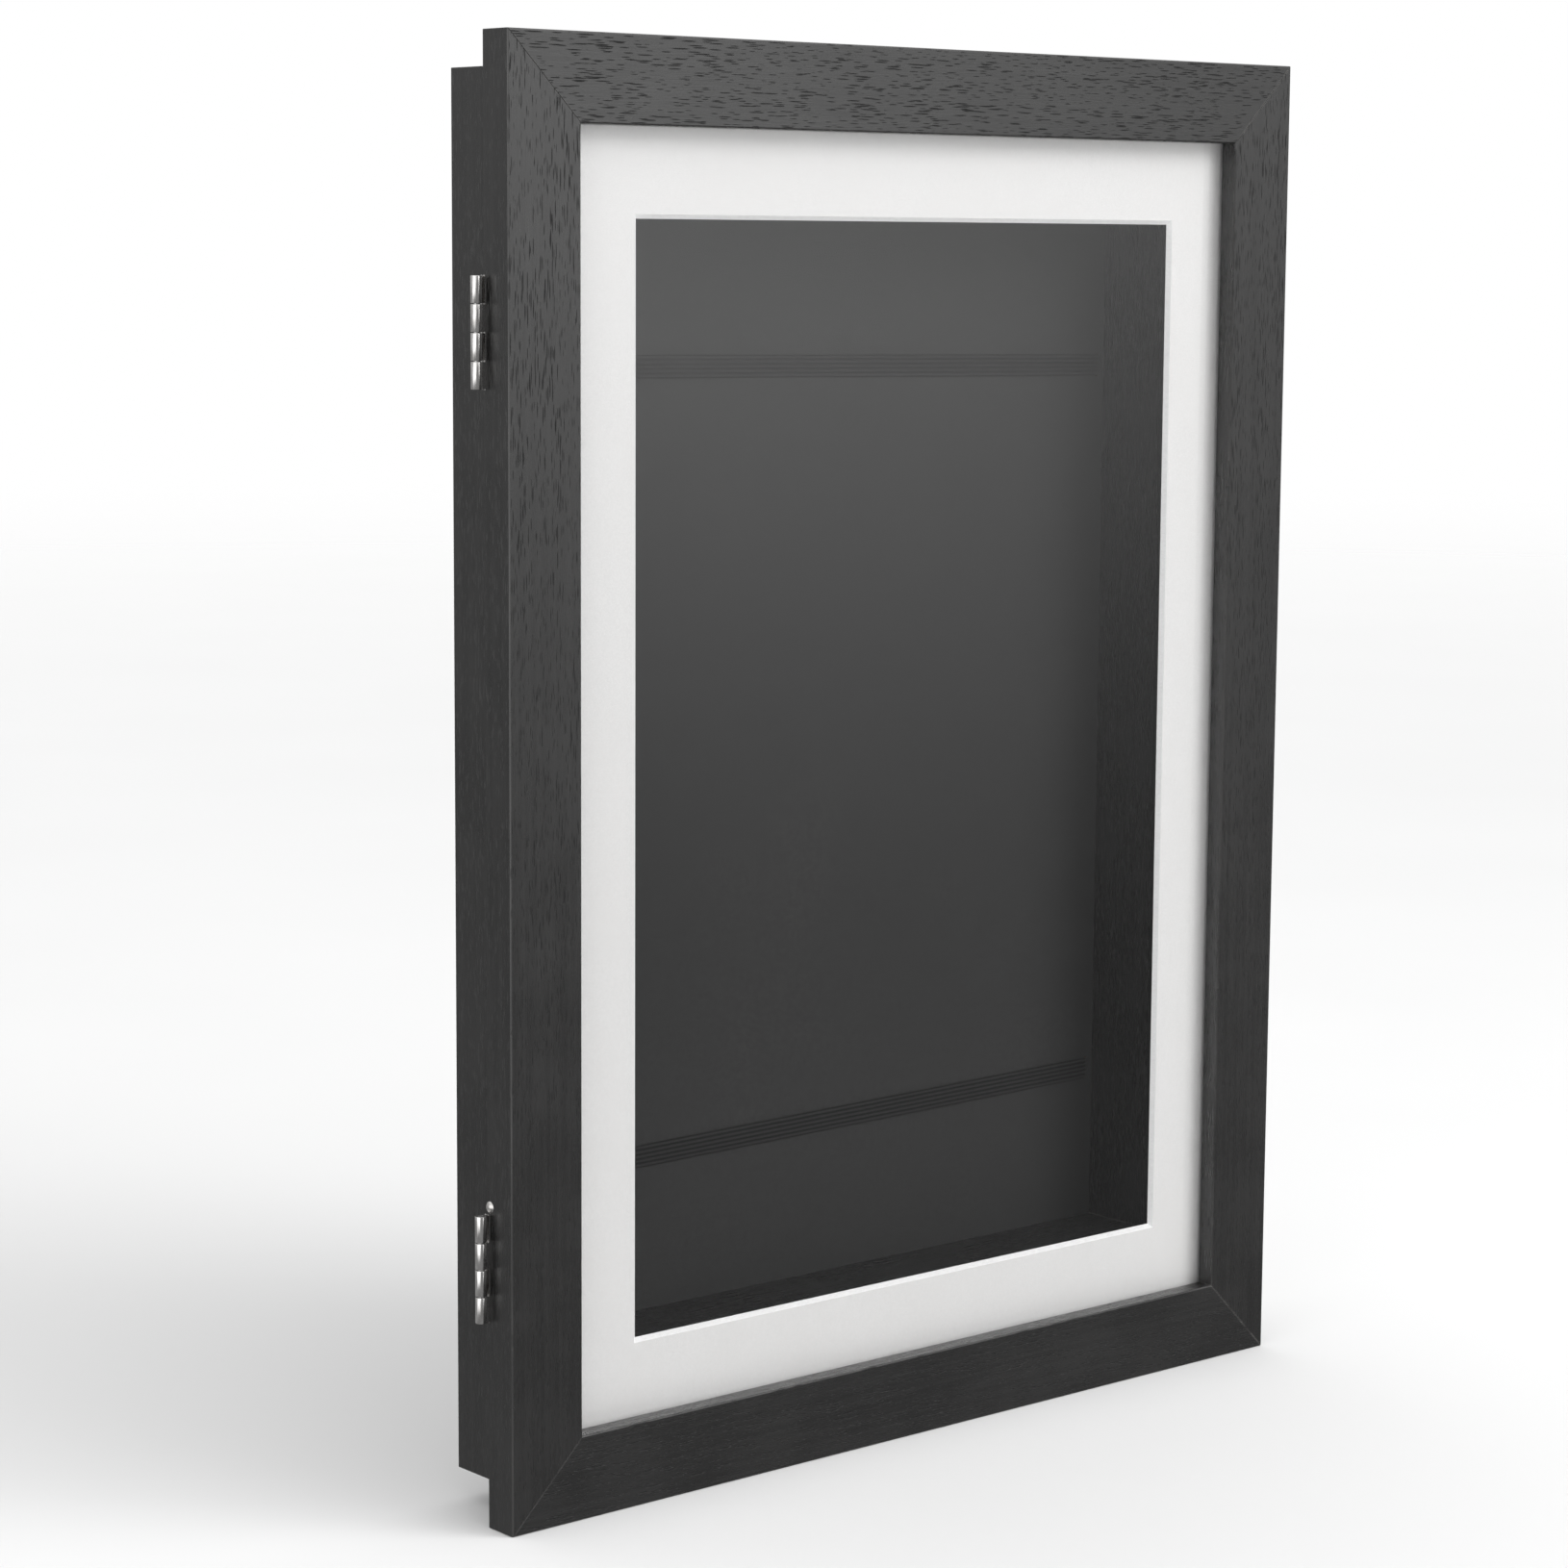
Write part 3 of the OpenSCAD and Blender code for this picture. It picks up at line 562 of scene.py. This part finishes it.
def floor_material():
    """Pale grey that thins out towards the rim, so that floor and backdrop meet without a line."""
    g = new_graph("floor_pale")
    position = g.add("TexCoord").outputs["Object"]
    distance = g.add("VectorMath", {0: position}, operation="LENGTH").outputs["Value"]
    far = g.ramp(distance, FLOOR_FADE_FROM, FLOOR_FADE_TO)
    cloud = g.noise(g.even(position, FLOOR_CLOUD_TURNS), detail=3.0)
    darkest, lightest = grey(FLOOR_GREY - FLOOR_GREY_SPREAD), grey(FLOOR_GREY + FLOOR_GREY_SPREAD)
    paint = g.add("BsdfPrincipled", {
        "Base Color": g.blend(cloud, darkest, lightest),
        "Roughness": g.ramp(cloud, 0.3, 0.7, 0.75, 0.85),
        "Specular IOR Level": 0.1,
    })
    clear = g.add("BsdfTransparent")
    g.surface(g.add("MixShader", {0: far, 1: paint.outputs[0], 2: clear.outputs[0]}).outputs[0])
    return g.owner


def add_floor():
    """A disc just under the object's lowest point."""
    lowest = CAD_BOX[0][2]
    mesh = bpy.data.meshes.new("floor")
    angles = [i * math.tau / FLOOR_SIDES for i in range(FLOOR_SIDES)]
    ring = [(FLOOR_RADIUS * math.cos(angle), FLOOR_RADIUS * math.sin(angle), 0) for angle in angles]
    mesh.from_pydata(ring, [], [tuple(range(FLOOR_SIDES))])
    floor = bpy.data.objects.new("floor", mesh)
    floor.location = (0, 0, lowest - FLOOR_DROP)
    floor.data.materials.append(floor_material())
    floor.visible_glossy = False
    bpy.context.scene.collection.objects.link(floor)


def set_sky():
    """Soft studio surroundings: dim below, lighter above and behind, with the three bright cards."""
    world = bpy.data.worlds.new("studio")
    bpy.context.scene.world = world
    g = Graph(world)
    direction = g.add("TexCoord").outputs["Generated"]
    split = g.add("SeparateXYZ", {0: direction})
    depth, height = split.outputs[1], split.outputs[2]
    level_way = g.vector("NORMALIZE", g.vector("MULTIPLY", direction, (1.0, 1.0, 0.0)))

    def lobe(way, towards, rim, core, level):
        """level inside core, eased to nothing at rim, both angles from towards."""
        near = g.vector("DOT_PRODUCT", way, towards)
        return g.ramp(near, math.cos(rim), math.cos(core), 0.0, level)

    def upright_card(azimuth, rim, core, level, foot, head):
        """A bright card that stands between the heights of its foot and its head."""
        towards = (math.sin(azimuth), -math.cos(azimuth), 0.0)
        card = g.math("MULTIPLY", lobe(level_way, towards, rim, core, level), g.ramp(height, *foot))
        return g.math("MULTIPLY", card, g.ramp(height, *head, 1.0, 0.0))

    sky = g.ramp(height, *SKY_HEIGHTS, SKY_LOW, SKY_TOP)
    behind = g.ramp(depth, 0.0, BEHIND_FULL_DEPTH, 0.0, SKY_BEHIND)
    behind = g.math("MULTIPLY", behind, g.ramp(height, *BEHIND_HEIGHTS, BEHIND_LOW_SHARE, 1.0))
    front_card = upright_card(CARD_AZIMUTH, CARD_RIM, CARD_CORE, CARD_LEVEL, CARD_FOOT, CARD_HEAD)
    side_card = upright_card(
        SIDE_CARD_AZIMUTH, SIDE_CARD_RIM, SIDE_CARD_CORE, SIDE_CARD_LEVEL, SIDE_CARD_FOOT, SIDE_CARD_HEAD,
    )
    card = g.math("ADD", front_card, side_card)
    top_card = lobe(direction, tuple(TOP_CARD_TOWARDS), TOP_CARD_RIM, TOP_CARD_CORE, TOP_CARD_LEVEL)

    level = g.math("ADD", g.math("ADD", sky, behind), g.math("ADD", card, top_card))
    seen = g.add("LightPath").outputs["Is Camera Ray"]
    lit = g.add("Background", {"Color": level, "Strength": 1.0})
    backdrop = g.add("Background", {"Color": grey(BACKDROP_LEVEL), "Strength": 1.0})
    mixed = g.add("MixShader", {0: seen, 1: lit.outputs[0], 2: backdrop.outputs[0]})
    g.add("OutputWorld", {"Surface": mixed.outputs[0]})
    bpy.context.scene.view_settings.view_transform = "Standard"


def add_lamp():
    """The soft lamp, turned to the object's middle."""
    light = bpy.data.lights.new("soft_lamp", "AREA")
    light.shape = "DISK"
    light.size = LAMP_SIZE
    light.energy = LAMP_WATTS
    lamp = bpy.data.objects.new("soft_lamp", light)
    lamp.location = LAMP_PLACE
    lamp.rotation_euler = LAMP_PLACE.to_track_quat("Z", "Y").to_euler()
    lamp.visible_glossy = False
    bpy.context.scene.collection.objects.link(lamp)


# ---------- Pieces ----------

def strap_width():
    """Width of a strap before it is tilted, from the box that the tilted strap fills."""
    low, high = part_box("strap_upper")
    length = high.x - low.x
    return ((high.z - low.z) - length * math.sin(STRAP_TILT)) / math.cos(STRAP_TILT)


def strap_route(half_length, front_y, tail_y):
    """Middle line of a strap as (x, y): tail, bend, leg, bend, front run, and the same again mirrored."""
    def bend(centre_x, centre_y, start):
        angles = [start + i * math.pi / 2 / STEPS_ROUND_BEND for i in range(STEPS_ROUND_BEND + 1)]
        return [(centre_x + STRAP_BEND * math.cos(angle), centre_y + STRAP_BEND * math.sin(angle))
                for angle in angles]

    steps = STEPS_ALONG_HALF_RUN
    run = [(half_length * i / steps, front_y) for i in range(steps)]
    run = [p for p in run if p[0] < half_length - STRAP_BEND]
    run += bend(half_length - STRAP_BEND, front_y + STRAP_BEND, -math.pi / 2)
    run += bend(half_length - STRAP_BEND, tail_y - STRAP_BEND, 0.0)
    steps = STEPS_ALONG_TAIL
    run += [(half_length - STRAP_TAIL * i / steps, tail_y) for i in range(1, steps + 1)]
    return [(-x, y) for x, y in reversed(run[1:])] + run


def strap_section(width, thickness):
    """Closed outline of the strap as (offset across the thickness, z): rounded ribs with grooves between."""
    steps = STRAP_RIBS * STEPS_ACROSS_RIB
    half = []
    for i in range(steps + 1):
        z = width * (i / steps - 0.5)
        groove = 1 - abs(math.cos(math.pi * STRAP_RIBS * (z / width + 0.5) + math.pi / 2))
        edge = min(1.0, (width / 2 - abs(z)) / (STRAP_EDGE * thickness))
        round_edge = max(math.sqrt(max(0.0, 1 - (1 - edge) ** 2)), STRAP_EDGE_LEAST)
        half.append((thickness / 2 * (1 - STRAP_GROOVE * groove ** 2) * round_edge, z))
    return half + [(-offset, z) for offset, z in reversed(half)]


def add_strap(name, node, tilt, finish):
    """A ribbed elastic band in place of the plain CAD strap."""
    low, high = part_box(node)
    front_y = low.y + STRAP_THICKNESS / 2
    width = strap_width()
    reach = (high.x - low.x - width * math.sin(STRAP_TILT)) / 2 / math.cos(STRAP_TILT)
    route = strap_route(reach - STRAP_THICKNESS / 2, front_y, STRAP_TAIL_MIDDLE_Y)
    section = strap_section(width, STRAP_THICKNESS)
    vertices, faces = [], []
    for i, (x, y) in enumerate(route):
        before, after = route[max(i - 1, 0)], route[min(i + 1, len(route) - 1)]
        heading = Vector((after[0] - before[0], after[1] - before[1])).normalized()
        side = Vector((heading.y, -heading.x))
        vertices += [(x + offset * side.x, y + offset * side.y, z) for offset, z in section]
    ring = len(section)
    for i in range(len(route) - 1):
        for j in range(ring):
            k = (j + 1) % ring
            here, ahead = i * ring, (i + 1) * ring
            faces.append((here + j, here + k, ahead + k, ahead + j))
    faces.append(tuple(reversed(range(ring))))
    faces.append(tuple(range((len(route) - 1) * ring, len(route) * ring)))
    mesh = bpy.data.meshes.new(name)
    mesh.from_pydata(vertices, [], faces)
    mesh.update()
    for polygon in mesh.polygons:
        polygon.use_smooth = polygon.index < len(faces) - 2
    strap = bpy.data.objects.new(name, mesh)
    middle = (low + high) / 2
    strap.matrix_world = Matrix.Translation((0, 0, middle.z)) @ Matrix.Rotation(tilt, 4, "Y")
    mesh.materials.append(finish)
    bpy.context.scene.collection.objects.link(strap)
    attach(strap, "box")
    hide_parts(node)


def welded(node):
    """A CAD node with its split corners joined by a modifier, which leaves its mesh alone."""
    piece = NODES[node]
    weld = piece.modifiers.new("weld", "WELD")
    weld.merge_threshold = WELD_REACH
    return piece


def soften(node, width):
    """Rounds a CAD node's sharp edges a little, by a modifier."""
    bevel = welded(node).modifiers.new("soft_edges", "BEVEL")
    bevel.width = width
    bevel.segments = SOFT_STEPS
    bevel.limit_method = "ANGLE"
    bevel.angle_limit = SOFT_ANGLE
    bevel.harden_normals = True


def draw_in(node, distance):
    """Draws a CAD node's corners in a little, by a modifier."""
    shrink = welded(node).modifiers.new("drawn_in", "DISPLACE")
    shrink.mid_level = 0.0
    shrink.strength = -distance


def finish_nodes(names, finish):
    """Gives the CAD nodes of these names one material."""
    for name in names:
        for material_slot in NODES[name].material_slots:
            material_slot.material = finish


set_camera()
add_floor()
set_sky()
add_lamp()

RAILS = ["door_rail_top", "door_rail_bottom", "box_rail_top", "box_rail_bottom"]
STILES = ["door_stile_left", "door_stile_right", "box_stile_left", "box_stile_right"]
HINGE_LEAVES = [
    "hinge_upper_door_leaf", "hinge_lower_door_leaf", "hinge_upper_box_leaf", "hinge_lower_box_leaf",
]
NICKEL = HINGE_LEAVES + [
    "hinge_upper_door_screws", "hinge_lower_door_screws", "hinge_upper_box_screws", "hinge_lower_box_screws",
    "door_edge_brad", "latch_magnets", "strike_screws",
]
STEEL = [
    "door_v_nails", "box_v_nails", "retaining_points", "strike_plates", "panel_brads", "strap_staples",
    "hinge_upper_pin", "hinge_lower_pin", "portrait_hanger", "landscape_hanger", "hanger_nails",
]
finish_nodes(RAILS, black_wood("wood_black_grain_along_x", True))
finish_nodes(STILES, black_wood("wood_black_grain_along_z", False))
finish_nodes(["glazing_pane"], clear_pane())
finish_nodes(["mat_board"], white_mat())
finish_nodes(["back_panel"], black_board())
finish_nodes(NICKEL, plated_metal("nickel_plate", *NICKEL_GREYS, *NICKEL_ROUGHNESS, NICKEL_BRUSH))
finish_nodes(STEEL, plated_metal("zinc_steel", *ZINC_GREYS, *ZINC_ROUGHNESS, ZINC_BRUSH))

for wooden in RAILS + STILES:
    soften(wooden, EDGE_SOFTNESS)
draw_in("glazing_pane", PANE_DRAWN_IN)
for hinge in HINGE_LEAVES:
    soften(hinge, HINGE_SOFTNESS)

elastic_finish = elastic()
add_strap("elastic_strap_upper", "strap_upper", STRAP_TILT, elastic_finish)
add_strap("elastic_strap_lower", "strap_lower", -STRAP_TILT, elastic_finish)
